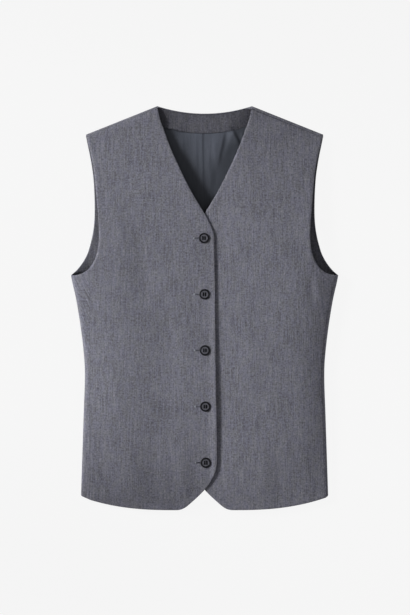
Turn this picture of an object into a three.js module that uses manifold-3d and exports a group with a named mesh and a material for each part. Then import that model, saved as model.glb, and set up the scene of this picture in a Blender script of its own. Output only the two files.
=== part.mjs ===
// Tailored waistcoat laid flat, front up: a back, its lining and facings, two fronts and five buttons.
// Millimetres. +X is the viewer's right, +Y runs from hem to neck and +Z up from the surface it lies on.
// The origin is the middle of its outline, on that surface. Right and left are the wearer's, so the right
// front lies on the -X side, and it laps over the left one.

import * as THREE from "three";
import { mergeVertices } from "three/addons/utils/BufferGeometryUtils.js";
import Module from "manifold-3d";

// ---- Outline: half widths are taken out from the centre line ----

const HALF_LENGTH = 303; // to the neck point of each shoulder, and to the lowest point of each front
const NECK_POINT = { x: 71, y: HALF_LENGTH };
const SHOULDER_TIP = { x: 177.9, y: 260.3 };
const UNDERARM = { x: 200.5, y: 49.5 };
const BACK_NECK_DIP = 11.25; // the back neckline's middle lies this far below the neck points

// The line that the body folds round. Above the underarm it is the line where its loft would run out.
const SIDE_FOLD = [
  { y: -283, half: 185.5 },
  { y: -213, half: 183.2 },
  { y: -153, half: 181.2 },
  { y: -108, half: 179.7 },
  { y: -78, half: 180.4 },
  { y: -33, half: 185.3 },
  { y: 12, half: 192.5 },
  { y: UNDERARM.y, half: UNDERARM.x },
  { y: 61, half: 199.5 },
  { y: 80, half: 191 },
  { y: 110, half: 182.5 },
  { y: 150, half: 180 },
  { y: 200, half: 182 },
  { y: 262, half: 190 },
];

const BACK_ARMHOLE = [
  { y: UNDERARM.y, half: UNDERARM.x },
  { y: 57, half: 191.5 },
  { y: 72, half: 180.6 },
  { y: 87, half: 173.9 },
  { y: 117, half: 166.9 },
  { y: 147, half: 165 },
  { y: 192, half: 166.8 },
  { y: 222, half: 170.9 },
  { y: 252, half: 176.6 },
  { y: SHOULDER_TIP.y, half: SHOULDER_TIP.x },
];

// The front's armhole is scooped deeper than the back's. From the underarm to the shoulder tip.
const FRONT_ARMHOLE = [
  { x: UNDERARM.x, y: UNDERARM.y },
  { x: 190.7, y: 50 },
  { x: 183.2, y: 52.2 },
  { x: 177.5, y: 55.7 },
  { x: 171.2, y: 61.4 },
  { x: 164.3, y: 73 },
  { x: 160.8, y: 84 },
  { x: 158.2, y: 107 },
  { x: 161.1, y: 156 },
  { x: 166, y: 207 },
  { x: 172, y: 237 },
  { x: SHOULDER_TIP.x, y: SHOULDER_TIP.y },
];

// The front's free edge: hem point, cutaway, straight edge past the centre line (x below 0), V, neck point.
const FRONT_EDGE = [
  { x: 42, y: -HALF_LENGTH },
  { x: 31, y: -300.2 },
  { x: 21.9, y: -293.4 },
  { x: 0, y: -272.4 },
  { x: -10.8, y: -257.3 },
  { x: -17, y: -243 },
  { x: -18.5, y: -232 },
  { x: -16.6, y: -70 },
  { x: -14.6, y: 94.5 },
  { x: -13.7, y: 111 },
  { x: -6.3, y: 129.9 },
  { x: 21.9, y: 178.5 },
  { x: 49.6, y: 237 },
  { x: 61.2, y: 268 },
  { x: 66.5, y: 282.5 },
  NECK_POINT,
];

const HEM_LEVEL_X = 45; // the hem is level at the hem point, and curves up from here to the side
const HEM_RISE = { at: 174.9, by: 16.3, power: 2.5 };
const BACK_HEM = { side: -281, arch: 17 }; // the back's hem is straight across and stays behind the fronts'

// ---- Side seams: the garment lies turned a little, so the back shows more on the right-hand side ----

const RIGHT_SEAM_HALF = 171.5; // the wearer's right seam runs straight
const LEFT_SEAM_INSET = 4.5; // the left one keeps this far inside the fold

// ---- Heights ----

const FRONT_WALL = 2.2; // outer cloth, canvas and lining
const BACK_WALL = 1.2;
const LAYER_WALL = 1; // lining and facings
const GAP = 0.3; // between pieces that touch
const LAYER_LOW = BACK_WALL + GAP;
const LAYER_HIGH = LAYER_LOW + LAYER_WALL;
const FLAT_TOP = LAYER_HIGH + GAP + FRONT_WALL; // the fronts' upper face where they lie on the back
const EDGE_LOFT = 3.8; // what the fold gains at full loft
const CROWN = { rise: 12.5, run: 92 }; // the fronts' rounding from the fold inwards
const ROLL = 5; // sideways radius of the fold
const SHOULDER_RUN = 240; // the loft grows over this length below the shoulders
const SHOULDER_SLOPE = (NECK_POINT.y - SHOULDER_TIP.y) / (SHOULDER_TIP.x - NECK_POINT.x);
const HEM_LOFT = { y: -290, run: 190, share: 0.3 }; // share of the loft that is left at the hem
const LAP = { offset: (FRONT_WALL + GAP) / 2, inner: 24, outer: 70 }; // each front shifts by half of it
const EDGE_LIFT = { rise: 1.5, from: -9, to: -17 }; // the upper front's edge stands off past its buttons

// ---- Lining and facings ----

const NECK_FACING = { end: 105, middle: 262.2 };
const ARMHOLE_FACING = { width: 25, low: 56 };
const LINING_HEM = 22; // above the back's hem
const LINING_SIDE = { inset: 14, narrow: 36 }; // inside the fold; narrows to the facing above that level
const PLEAT = { x: -1.5, rise: 0.8, run: 26 };
const LINING_FOLDS = [
  { x0: 64, y0: 258, x1: 52, y1: 205, width: 7, rise: 3 },
  { x0: 36, y0: 262, x1: 33, y1: 232, width: 6, rise: 1.4 },
  { x0: -38, y0: 262, x1: -36, y1: 238, width: 6, rise: 1.2 },
];

// ---- Buttons ----

const BUTTON = { count: 5, x: -0.9, y: 104.6, stepX: 0.64, stepY: -84 };
const BUTTON_HOLE = { radius: 0.9, offset: 1.5, sides: 8 };
const BUTTON_SIDES = 24;
const BUTTON_PROFILE = [
  { r: 0, z: 0 },
  { r: 6.2, z: 0 },
  { r: 7.5, z: 0.9 },
  { r: 7.75, z: 1.9 },
  { r: 7.3, z: 3 },
  { r: 6.6, z: 3.4 },
  { r: 5.8, z: 3 },
  { r: 4.9, z: 2.4 },
  { r: 0, z: 2.2 },
];

// ---- Colours ----

const SUITING = new THREE.MeshStandardMaterial({ color: 0x696971, roughness: 0.9 });
const FACING_CLOTH = new THREE.MeshStandardMaterial({ color: 0x5e5e66, roughness: 0.9 });
const LINING_CLOTH = new THREE.MeshStandardMaterial({ color: 0x565962, roughness: 0.45 });
const BUTTON_PLASTIC = new THREE.MeshStandardMaterial({ color: 0x2e2f36, roughness: 0.35 });

// ---- Small helpers ----

const { clamp, lerp, smoothstep } = THREE.MathUtils;

// The half width at y, on a smooth curve through a table's rows.
function halfAt(table, y) {
  const last = table.length - 1;
  if (y <= table[0].y) return table[0].half;
  if (y >= table[last].y) return table[last].half;
  const k = table.findIndex((row) => row.y > y) - 1;
  const slope = (a, b) => (table[b].half - table[a].half) / (table[b].y - table[a].y);
  const span = table[k + 1].y - table[k].y;
  const start = slope(Math.max(k - 1, 0), k + 1) * span;
  const end = slope(k, Math.min(k + 2, last)) * span;
  const t = (y - table[k].y) / span;
  const chord = table[k + 1].half - table[k].half;
  const bend = (start - chord) * (1 - t) + (chord - end) * t;
  return table[k].half + chord * t + bend * t * (1 - t);
}

function curveThrough(points) {
  const spots = points.map((p) => new THREE.Vector3(p.x, p.y, 0));
  return new THREE.CatmullRomCurve3(spots, false, "centripetal");
}

// Where along a curve a rule first turns from false to true.
function placeWhere(curve, rule) {
  let low = 0;
  let high = 1;
  while (high - low > 1e-5) {
    const middle = (low + high) / 2;
    if (rule(curve.getPointAt(middle))) high = middle;
    else low = middle;
  }
  return high;
}

// Rows that start dense and grow wider.
const easedShare = (k, count, power) => Math.pow(k / count, power);

// A closed wall between an outer and an inner grid. pointAt gives the point of row i, column j on a face:
// 0 is the outer one. Seen from outside, rows run up and columns to the right, unless flipped.
function wallGeometry(rows, columns, flipped, pointAt) {
  const positions = [];
  for (const face of [0, 1]) {
    for (let i = 0; i <= rows; i++) {
      for (let j = 0; j <= columns; j++) positions.push(...pointAt(i, j, face).toArray());
    }
  }
  const corner = (i, j, face) => (face * (rows + 1) + i) * (columns + 1) + j;
  const indices = [];
  const quad = (a, b, c, d) => {
    if (flipped) indices.push(a, c, b, a, d, c);
    else indices.push(a, b, c, a, c, d);
  };
  for (let i = 0; i < rows; i++) {
    for (let j = 0; j < columns; j++) {
      quad(corner(i, j, 0), corner(i, j + 1, 0), corner(i + 1, j + 1, 0), corner(i + 1, j, 0));
      quad(corner(i, j, 1), corner(i + 1, j, 1), corner(i + 1, j + 1, 1), corner(i, j + 1, 1));
    }
  }
  for (let j = 0; j < columns; j++) {
    quad(corner(0, j, 1), corner(0, j + 1, 1), corner(0, j + 1, 0), corner(0, j, 0));
    quad(corner(rows, j, 0), corner(rows, j + 1, 0), corner(rows, j + 1, 1), corner(rows, j, 1));
  }
  for (let i = 0; i < rows; i++) {
    quad(corner(i, 0, 0), corner(i + 1, 0, 0), corner(i + 1, 0, 1), corner(i, 0, 1));
    quad(corner(i, columns, 1), corner(i + 1, columns, 1), corner(i + 1, columns, 0), corner(i, columns, 0));
  }
  const geometry = new THREE.BufferGeometry();
  geometry.setAttribute("position", new THREE.Float32BufferAttribute(positions, 3));
  geometry.setIndex(indices);
  geometry.computeVertexNormals();
  return geometry;
}

function piece(name, geometry, material) {
  const mesh = new THREE.Mesh(geometry, material);
  mesh.name = name;
  return mesh;
}

// ---- The body's loft: one height field that the fronts and the turned-up sides of the back share ----

const shoulderLine = (x) => NECK_POINT.y - SHOULDER_SLOPE * Math.max(0, Math.abs(x) - NECK_POINT.x);

// 0 where the fronts lie on the back, 1 where the body is full.
function loftAt(x, y) {
  const belowShoulder = clamp((shoulderLine(x) - y) / SHOULDER_RUN, 0, 1);
  const aboveHem = clamp((y - HEM_LOFT.y) / HEM_LOFT.run, 0, 1);
  const fromHem = lerp(HEM_LOFT.share, 1, Math.sin((aboveHem * Math.PI) / 2));
  return Math.sin((belowShoulder * Math.PI) / 2) * fromHem;
}

const edgeHeight = (x, y) => FLAT_TOP + EDGE_LOFT * loftAt(x, y);

function crownAt(x, y) {
  const inside = clamp((halfAt(SIDE_FOLD, y) - Math.abs(x)) / CROWN.run, 0, 1);
  return CROWN.rise * loftAt(x, y) * (1 - Math.pow(1 - inside, 3));
}

const topHeight = (x, y) => edgeHeight(x, y) + crownAt(x, y);

// ---- Back: one sheet, flat underneath, that folds up round both sides to the side seams ----

const QUARTER = (ROLL * Math.PI) / 2;

// The sheet's outer face across the body at y. way is the distance along it, 0 on the fold line, more than 0
// on top and less than 0 underneath.
function foldSection(way, y) {
  const centre = halfAt(SIDE_FOLD, y) - ROLL;
  if (way <= -QUARTER) return { x: centre + way + QUARTER, z: 0 };
  if (way >= QUARTER) {
    const x = centre - way + QUARTER;
    return { x, z: topHeight(x, y) };
  }
  const angle = way / ROLL;
  const x = centre + ROLL * Math.cos(angle);
  const lift = Math.max(0, Math.sin(angle)) * crownAt(x, y);
  return { x, z: (edgeHeight(x, y) / 2) * (1 + Math.sin(angle)) + lift };
}

const wayOnTop = (x, y) => {
  const inward = halfAt(SIDE_FOLD, y) - ROLL - x;
  return inward >= 0 ? QUARTER + inward : ROLL * Math.acos(-inward / ROLL);
};

const wayUnderneath = (x, y) => -wayOnTop(x, y);

// A point of the sheet, moved in from its outer face by depth: up from underneath, and down from on top.
function sheetPoint(side, way, y, depth) {
  const outer = foldSection(way, y);
  const angle = clamp(way, -QUARTER, QUARTER) / ROLL;
  const x = outer.x - depth * Math.cos(angle);
  return new THREE.Vector3(side * x, y, outer.z - depth * Math.sin(angle));
}

const frontArmhole = curveThrough(FRONT_ARMHOLE);
const frontHem = (x) => {
  const share = Math.max(0, x - HEM_LEVEL_X) / (HEM_RISE.at - HEM_LEVEL_X);
  return -HALF_LENGTH + HEM_RISE.by * Math.pow(share, HEM_RISE.power);
};

// The side seam's half width: side is -1 for the wearer's right and 1 for the left.
function seamHalf(side, y) {
  return side < 0 ? RIGHT_SEAM_HALF : halfAt(SIDE_FOLD, y) - LEFT_SEAM_INSET;
}

// Where the side seam meets the armhole, as a share of the armhole's length.
function seamTop(side) {
  return placeWhere(frontArmhole, (p) => p.x < seamHalf(side, p.y));
}

const SEAM_ROWS = 14; // the same rows on the back and the fronts, so that their edges run together
const SEAM_EASE = 1.25;
const UNDERARM_ROWS = 4;
const ARMHOLE_ROWS = 11;
const BACK_ROWS = SEAM_ROWS + UNDERARM_ROWS + ARMHOLE_ROWS;
const SEAM_TOP_LEVEL = 41; // the sheet's level underneath, where its edge turns from seam to armhole

// The back's outer edge, from hem to shoulder tip: its way round the fold, its level, and its row's level.
function backEdge(side) {
  const edge = [];
  const start = seamTop(side);
  const top = frontArmhole.getPointAt(start).y;
  const low = frontHem(seamHalf(side, BACK_HEM.side));
  for (let k = 0; k <= SEAM_ROWS; k++) {
    const share = easedShare(k, SEAM_ROWS, SEAM_EASE);
    const y = lerp(low, top, share);
    const x = seamHalf(side, y) + GAP / 2;
    edge.push({ way: wayOnTop(x, y), y, level: lerp(BACK_HEM.side, SEAM_TOP_LEVEL, share) });
  }
  for (let k = 1; k <= UNDERARM_ROWS; k++) {
    const share = k / UNDERARM_ROWS;
    const p = frontArmhole.getPointAt(start * (1 - share));
    edge.push({ way: wayOnTop(p.x, p.y), y: p.y, level: lerp(SEAM_TOP_LEVEL, UNDERARM.y, share) });
  }
  for (let k = 1; k <= ARMHOLE_ROWS; k++) {
    const y = lerp(UNDERARM.y, SHOULDER_TIP.y, easedShare(k, ARMHOLE_ROWS, 1.5));
    edge.push({ way: wayUnderneath(halfAt(BACK_ARMHOLE, y), y), y, level: y });
  }
  return edge;
}

const backNeck = (x) => NECK_POINT.y - BACK_NECK_DIP * (1 - Math.pow(x / NECK_POINT.x, 2));
const backTop = (x) => (Math.abs(x) < NECK_POINT.x ? backNeck(x) : shoulderLine(x));

// The back's level at x: the hem's arch and the neck and shoulder lines fade out away from their ends.
function backLevel(level, x) {
  const nearHem = Math.pow(clamp((level + 150) / (BACK_HEM.side + 150), 0, 1), 2);
  const nearTop = Math.pow(clamp((level - UNDERARM.y) / (SHOULDER_TIP.y - UNDERARM.y), 0, 1), 2);
  const arch = BACK_HEM.arch * (1 - Math.pow(Math.min(1, Math.abs(x) / SIDE_FOLD[0].half), 2));
  return level + arch * nearHem + (backTop(x) - SHOULDER_TIP.y) * nearTop;
}

// Columns of one half, from the edge to the centre line: the turned-up side, the fold and the flat.
const FOLD_COLUMNS = 6;
const FLAT_COLUMNS = 3;
const NECK_COLUMNS = 4;

function halfColumns(sideColumns, edge, y) {
  const flatWay = (x) => -QUARTER - (halfAt(SIDE_FOLD, y) - ROLL - x);
  const foldTop = Math.min(QUARTER, edge.way - 2);
  const foldLow = Math.min(-QUARTER, foldTop - 8);
  const knots = [edge.way, foldTop, foldLow, flatWay(NECK_POINT.x), flatWay(0)];
  const counts = [sideColumns, FOLD_COLUMNS, FLAT_COLUMNS, NECK_COLUMNS];
  const ways = [];
  counts.forEach((count, k) => {
    for (let c = 0; c < count; c++) ways.push(lerp(knots[k], knots[k + 1], c / count));
  });
  return ways;
}

function backGeometry() {
  const halves = [
    { side: -1, edge: backEdge(-1), sideColumns: 4 },
    { side: 1, edge: backEdge(1), sideColumns: 1 },
  ];
  const inner = FOLD_COLUMNS + FLAT_COLUMNS + NECK_COLUMNS;
  const middle = halves[0].sideColumns + inner;
  const columns = middle + halves[1].sideColumns + inner;
  const rowPoints = (i, face) => {
    const depth = face * BACK_WALL;
    const level = halves[0].edge[i].level;
    const points = [];
    for (const { side, edge, sideColumns } of halves) {
      const run = halfColumns(sideColumns, edge[i], level).map((way) => {
        const turned = Math.pow(Math.max(0, way) / Math.max(edge[i].way, 1), 2);
        const y = level + (edge[i].y - level) * turned;
        const point = sheetPoint(side, way, y, depth);
        if (way < 0) point.y = backLevel(level, point.x);
        return point;
      });
      if (side < 0) points.push(...run, new THREE.Vector3(0, backLevel(level, 0), depth));
      else points.push(...run.reverse());
    }
    return points;
  };
  const faces = [0, 1].map((face) => {
    return Array.from({ length: BACK_ROWS + 1 }, (_, i) => rowPoints(i, face));
  });
  return wallGeometry(BACK_ROWS, columns, true, (i, j, face) => faces[face][i][j]);
}

// ---- Back lining: lies on the back's inside, with its centre pleat and the folds it has slipped into ----

// The neck facing's lower edge, which would run on past its ends into the shoulder seams.
const facingLow = (x) => {
  const rise = shoulderLine(NECK_FACING.end) - NECK_FACING.middle;
  return NECK_FACING.middle + rise * Math.pow(x / NECK_FACING.end, 2);
};

function liningHalf(y) {
  const byFold = halfAt(SIDE_FOLD, y) - LINING_SIDE.inset;
  const byFacing = halfAt(BACK_ARMHOLE, Math.max(y, ARMHOLE_FACING.low)) - ARMHOLE_FACING.width - GAP;
  return lerp(byFold, byFacing, smoothstep(y, LINING_SIDE.narrow, ARMHOLE_FACING.low));
}

function liningRise(x, y) {
  const past = x - PLEAT.x;
  let rise = past > 0 ? PLEAT.rise * (1 - smoothstep(past, 0, PLEAT.run)) : 0;
  for (const fold of LINING_FOLDS) {
    const share = (fold.y0 - y) / (fold.y0 - fold.y1);
    const away = (x - lerp(fold.x0, fold.x1, share)) / fold.width;
    const fade = smoothstep(share, -0.1, 0.15) * (1 - smoothstep(share, 0.5, 1.15));
    rise += fold.rise * fade * Math.exp(-away * away);
  }
  return rise;
}

// Levels of the rows where the lining runs beside the armhole facings, which share them.
const FACING_ROWS = 9;
const FACING_LEVELS = Array.from({ length: FACING_ROWS + 1 }, (_, k) => {
  return lerp(ARMHOLE_FACING.low, SHOULDER_TIP.y, easedShare(k, FACING_ROWS, 1.3));
});

// The lining's columns where they reach the neck facing, which shares them.
const NECK_STEPS = 24;
const NECK_COLUMNS_X = Array.from({ length: NECK_STEPS + 1 }, (_, k) => {
  return lerp(-NECK_FACING.end, NECK_FACING.end, k / NECK_STEPS);
});
const LINING_LOW_ROWS = 5;
const LINING_TIP = SHOULDER_TIP.x - ARMHOLE_FACING.width - GAP;

function liningGeometry() {
  const low = BACK_HEM.side + LINING_HEM;
  const topAt = (x) => Math.min(shoulderLine(x), facingLow(x)) - GAP;
  const high = topAt(LINING_TIP);
  const levels = [];
  for (let k = 0; k < LINING_LOW_ROWS; k++) levels.push(lerp(low, ARMHOLE_FACING.low, k / LINING_LOW_ROWS));
  levels.push(...FACING_LEVELS, high);
  const side = (LINING_TIP + NECK_FACING.end) / 2;
  const pleat = [PLEAT.x - 0.6, PLEAT.x + 0.6];
  const columns = [-LINING_TIP, -side, ...NECK_COLUMNS_X, ...pleat, side, LINING_TIP].sort((a, b) => a - b);
  return wallGeometry(levels.length - 1, columns.length - 1, false, (i, j, face) => {
    const half = liningHalf(levels[i]);
    const x = (columns[j] / LINING_TIP) * half;
    const share = (levels[i] - low) / (high - low);
    const arch = BACK_HEM.arch * (1 - Math.pow(x / half, 2)) * Math.pow(1 - share, 3);
    const y = levels[i] + arch + (topAt(x) - topAt(half)) * Math.pow(share, 6);
    const z = (face === 0 ? LAYER_HIGH : LAYER_LOW) + liningRise(x, y);
    return new THREE.Vector3(x, y, z);
  });
}

// ---- Facings: flat strips on the back's inside, round the neck and down the back armholes ----

function layerGeometry(shape) {
  const geometry = new THREE.ExtrudeGeometry(shape, {
    depth: LAYER_WALL,
    bevelEnabled: false,
    curveSegments: 20,
  });
  return geometry.translate(0, 0, LAYER_LOW);
}

function neckFacingGeometry() {
  const shape = new THREE.Shape(NECK_COLUMNS_X.map((x) => new THREE.Vector2(x, facingLow(x))));
  shape.lineTo(NECK_POINT.x, NECK_POINT.y);
  shape.quadraticCurveTo(0, NECK_POINT.y - 2 * BACK_NECK_DIP, -NECK_POINT.x, NECK_POINT.y);
  return layerGeometry(shape);
}

function armholeFacingGeometry(side) {
  const outline = (inset) => FACING_LEVELS.map((y) => {
    return new THREE.Vector2(side * (halfAt(BACK_ARMHOLE, y) - inset), y);
  });
  const shoulder = new THREE.Vector2(side * (LINING_TIP + GAP), shoulderLine(LINING_TIP + GAP));
  const inner = outline(ARMHOLE_FACING.width).reverse();
  return layerGeometry(new THREE.Shape([...outline(0), shoulder, ...inner]));
}

// ---- Fronts: curved walls from side seam and armhole to the free edge ----

const frontEdge = curveThrough(FRONT_EDGE);
const FRONT_HIGH_ROWS = 18;
const FRONT_ROWS = SEAM_ROWS + FRONT_HIGH_ROWS;
const FRONT_COLUMNS = 13;
const EDGE_MATCH = 0.53; // share of the free edge's length that faces the side seam, below the armhole

// The two ends of row i, in the front's own half: the outer one at the seam or armhole, the inner one free.
function frontRowEnds(side, i) {
  const start = seamTop(side);
  if (i <= SEAM_ROWS) {
    const share = easedShare(i, SEAM_ROWS, SEAM_EASE);
    const y = lerp(frontHem(seamHalf(side, BACK_HEM.side)), frontArmhole.getPointAt(start).y, share);
    return {
      outer: new THREE.Vector3(seamHalf(side, y) - GAP / 2, y, 0),
      inner: frontEdge.getPointAt(EDGE_MATCH * share),
    };
  }
  const share = easedShare(i - SEAM_ROWS, FRONT_HIGH_ROWS, 1.4);
  return {
    outer: frontArmhole.getPointAt(lerp(start, 1, share)),
    inner: frontEdge.getPointAt(lerp(EDGE_MATCH, 1, share)),
  };
}

function frontShift(side, x) {
  const near = 1 - smoothstep(x, LAP.inner, LAP.outer);
  if (side > 0) return -LAP.offset * near;
  return LAP.offset * near + EDGE_LIFT.rise * smoothstep(-x, -EDGE_LIFT.from, -EDGE_LIFT.to);
}

function frontGeometry(side) {
  const rows = Array.from({ length: FRONT_ROWS + 1 }, (_, i) => frontRowEnds(side, i));
  const hemChord = (x) => {
    const { outer, inner } = rows[0];
    return lerp(outer.y, inner.y, (outer.x - x) / (outer.x - inner.x));
  };
  return wallGeometry(FRONT_ROWS, FRONT_COLUMNS, side > 0, (i, j, face) => {
    const { outer, inner } = rows[i];
    const plan = outer.clone().lerp(inner, 1 - Math.pow(1 - j / FRONT_COLUMNS, 1.15));
    const nearHem = Math.pow(1 - i / FRONT_ROWS, 8);
    plan.y += (frontHem(plan.x) - hemChord(plan.x)) * nearHem;
    const z = topHeight(plan.x, plan.y) + frontShift(side, plan.x) - face * FRONT_WALL;
    return new THREE.Vector3(side * plan.x, plan.y, z);
  });
}

// ---- Buttons: a dish with a raised rim and four sewing holes ----

const wasm = await Module();
wasm.setup();

function toSolid(geometry) {
  const bare = geometry.clone();
  bare.deleteAttribute("normal");
  bare.deleteAttribute("uv");
  const merged = mergeVertices(bare, 1e-3);
  return new wasm.Manifold(
    new wasm.Mesh({
      numProp: 3,
      vertProperties: new Float32Array(merged.attributes.position.array),
      triVerts: new Uint32Array(merged.index.array),
    }),
  );
}

function toGeometry(solid) {
  const { vertProperties, triVerts } = solid.getMesh();
  const geometry = new THREE.BufferGeometry();
  geometry.setAttribute("position", new THREE.Float32BufferAttribute(vertProperties, 3));
  geometry.setIndex(Array.from(triVerts));
  geometry.computeVertexNormals();
  return geometry;
}

function buttonGeometry() {
  const profile = BUTTON_PROFILE.map((p) => new THREE.Vector2(p.r, p.z));
  let solid = toSolid(new THREE.LatheGeometry(profile, BUTTON_SIDES).rotateX(Math.PI / 2));
  for (const [dx, dy] of [[1, 1], [-1, 1], [-1, -1], [1, -1]]) {
    const hole = new THREE.CylinderGeometry(BUTTON_HOLE.radius, BUTTON_HOLE.radius, 10, BUTTON_HOLE.sides);
    hole.rotateX(Math.PI / 2).translate(dx * BUTTON_HOLE.offset, dy * BUTTON_HOLE.offset, 0);
    solid = solid.subtract(toSolid(hole));
  }
  return toGeometry(solid);
}

// Each button lies on the upper front, tilted to the cloth's slope there.
function placeButton(mesh, x, y) {
  const height = (atX, atY) => topHeight(atX, atY) + frontShift(-1, -atX);
  const slopeX = (height(x + 5, y) - height(x - 5, y)) / 10;
  const slopeY = (height(x, y + 5) - height(x, y - 5)) / 10;
  const up = new THREE.Vector3(-slopeX, -slopeY, 1).normalize();
  mesh.quaternion.setFromUnitVectors(new THREE.Vector3(0, 0, 1), up);
  mesh.position.set(x, y, height(x, y)).addScaledVector(up, GAP);
}

// ---- The waistcoat ----

const waistcoat = new THREE.Group();
waistcoat.add(
  piece("back", backGeometry(), SUITING),
  piece("back_lining", liningGeometry(), LINING_CLOTH),
  piece("neck_facing", neckFacingGeometry(), FACING_CLOTH),
  piece("armhole_facing_right", armholeFacingGeometry(-1), FACING_CLOTH),
  piece("armhole_facing_left", armholeFacingGeometry(1), FACING_CLOTH),
  piece("front_left", frontGeometry(1), SUITING),
  piece("front_right", frontGeometry(-1), SUITING),
);

for (let k = 0; k < BUTTON.count; k++) {
  const button = piece(`button_${k + 1}`, buttonGeometry(), BUTTON_PLASTIC);
  placeButton(button, BUTTON.x + k * BUTTON.stepX, BUTTON.y + k * BUTTON.stepY);
  waistcoat.add(button);
}

export default waistcoat;
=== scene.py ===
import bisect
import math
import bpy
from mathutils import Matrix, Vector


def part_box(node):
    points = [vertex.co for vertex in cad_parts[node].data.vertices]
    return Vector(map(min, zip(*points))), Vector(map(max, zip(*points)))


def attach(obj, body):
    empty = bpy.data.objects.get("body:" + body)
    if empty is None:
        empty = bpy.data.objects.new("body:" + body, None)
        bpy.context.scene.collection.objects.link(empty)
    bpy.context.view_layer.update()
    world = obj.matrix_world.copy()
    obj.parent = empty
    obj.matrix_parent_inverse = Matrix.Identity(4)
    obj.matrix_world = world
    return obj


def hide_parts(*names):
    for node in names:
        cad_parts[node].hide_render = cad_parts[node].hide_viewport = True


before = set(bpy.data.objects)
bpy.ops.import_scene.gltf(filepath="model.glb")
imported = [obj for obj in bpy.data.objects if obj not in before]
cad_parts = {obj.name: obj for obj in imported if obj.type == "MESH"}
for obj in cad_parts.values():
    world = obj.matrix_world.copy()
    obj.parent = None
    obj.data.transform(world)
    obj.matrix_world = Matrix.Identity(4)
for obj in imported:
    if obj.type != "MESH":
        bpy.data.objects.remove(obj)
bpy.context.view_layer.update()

# Tailored waistcoat laid flat, front up, in the part's own frame: +X is the viewer's right, +Y runs from hem
# to neck and +Z up from the surface it lies on. Right and left are the wearer's, so the right front lies on
# the -X side and laps over the left one. Each cloth piece is one thin closed wall with pressed edges.
# Sizes are in metres, and the tables that go through from_mm are in millimetres.

from types import SimpleNamespace as Sizes

import bmesh
import bpy
from mathutils import Matrix, Vector, kdtree, noise


def from_mm(*rows):
    """A table in metres from rows of millimetres."""
    return tuple(tuple(value / 1000 for value in row) for row in rows)


def add_object(name, data):
    made = bpy.data.objects.new(name, data)
    bpy.context.scene.collection.objects.link(made)
    return made


# ---- Camera: straight above, from far away ----

CAMERA = Sizes(x=0.0006, y=0.0008, frame=0.9225, lens=300.0, sensor=36.0, plane=0.006)

camera = add_object("camera", bpy.data.cameras.new("camera"))
camera.data.lens = CAMERA.lens
camera.data.sensor_width = CAMERA.sensor
camera.data.dof.use_dof = False
away = CAMERA.frame * CAMERA.lens / CAMERA.sensor
camera.location = (CAMERA.x, CAMERA.y, away + CAMERA.plane)
bpy.context.scene.camera = camera

# ---- Outline: half widths are taken out from the centre line ----

HALF_LENGTH = 0.303
NECK_POINT = (0.071, HALF_LENGTH)
SHOULDER_TIP = (0.1779, 0.2603)
UNDERARM = (0.2005, 0.0495)
BACK_NECK_DIP = 0.01125

SIDE_FOLD = from_mm(  # y, half width
    (-283, 185.5),
    (-213, 183.2),
    (-153, 181.2),
    (-108, 179.7),
    (-78, 180.4),
    (-33, 185.3),
    (12, 192.5),
    (49.5, 200.5),
    (61, 199.5),
    (80, 191),
    (110, 182.5),
    (150, 180),
    (200, 182),
    (262, 190),
)
# The crown is measured from further out than the armholes, and so stays flat beside them
CROWN_SIDE = SIDE_FOLD[:6] + from_mm(  # y, half width
    (12, 193.5),
    (49.5, 203),
    (90, 208),
    (150, 208),
    (262, 205),
)
BACK_ARMHOLE = from_mm(  # y, half width
    (49.5, 200.5),
    (57, 191.5),
    (72, 180.6),
    (87, 173.9),
    (117, 166.9),
    (147, 165),
    (192, 166.8),
    (222, 170.9),
    (252, 176.6),
    (260.3, 177.9),
)
FRONT_ARMHOLE = from_mm(  # x, y from the underarm to the shoulder tip
    (200.5, 49.5),
    (190.7, 50),
    (183.2, 52.2),
    (177.5, 55.7),
    (171.2, 61.4),
    (164.3, 73),
    (160.8, 84),
    (158.2, 107),
    (161.1, 156),
    (166, 207),
    (172, 237),
    (177.9, 260.3),
)
FRONT_EDGE = from_mm(  # x, y from the hem point round the cutaway and up the V to the neck point
    (42, -303),
    (31, -300.2),
    (21.9, -293.4),
    (0, -272.4),
    (-10.8, -257.3),
    (-17, -243),
    (-18.5, -232),
    (-16.6, -70),
    (-14.6, 94.5),
    (-13.7, 111),
    (-6.3, 129.9),
    (21.9, 178.5),
    (49.6, 237),
    (61.2, 268),
    (66.5, 282.5),
    (71, 303),
)
HEM_POINT_X = 0.042  # the hem is level here; it rises to the side and rounds into the cutaway
HEM_ROUND = 0.023
HEM_RISE = Sizes(start=0.045, at=0.1749, by=0.0163, power=2.5)
CUTAWAY_TURN_X = 0.031  # where the hem row ends and the cutaway's edge starts
BACK_HEM = Sizes(side=-0.281, arch=0.017, fade=-0.150)
RIGHT_SEAM_HALF = 0.1715
LEFT_SEAM_INSET = 0.0045

# ---- Heights ----

FRONT_WALL = 0.0022
BACK_WALL = 0.0012
LAYER_WALL = 0.001
GAP = 0.0003
SEAM_GAP = 0.00006
LAYER_LOW = BACK_WALL + GAP
LAYER_HIGH = LAYER_LOW + LAYER_WALL
FLAT_TOP = LAYER_HIGH + GAP + FRONT_WALL
EDGE_LOFT = 0.0038
CROWN = Sizes(rise=0.0117, run=0.092)
ROLL = 0.005
SHOULDER_RUN = 0.228
SHOULDER_ROLL = Sizes(width=0.014, rise=0.0021)  # the padded line of the shoulders, rounded over
SHOULDER_SLOPE = (NECK_POINT[1] - SHOULDER_TIP[1]) / (SHOULDER_TIP[0] - NECK_POINT[0])
HEM_LOFT = Sizes(y=-0.290, run=0.190, share=0.3)
LAP = Sizes(offset=(FRONT_WALL + GAP) / 2, inner=0.024, outer=0.070)
EDGE_LIFT = Sizes(half=(0.006, 0.0165), y=(-0.200, 0.090), rise=(0.0017, 0.0005))  # right front's free edge

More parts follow.
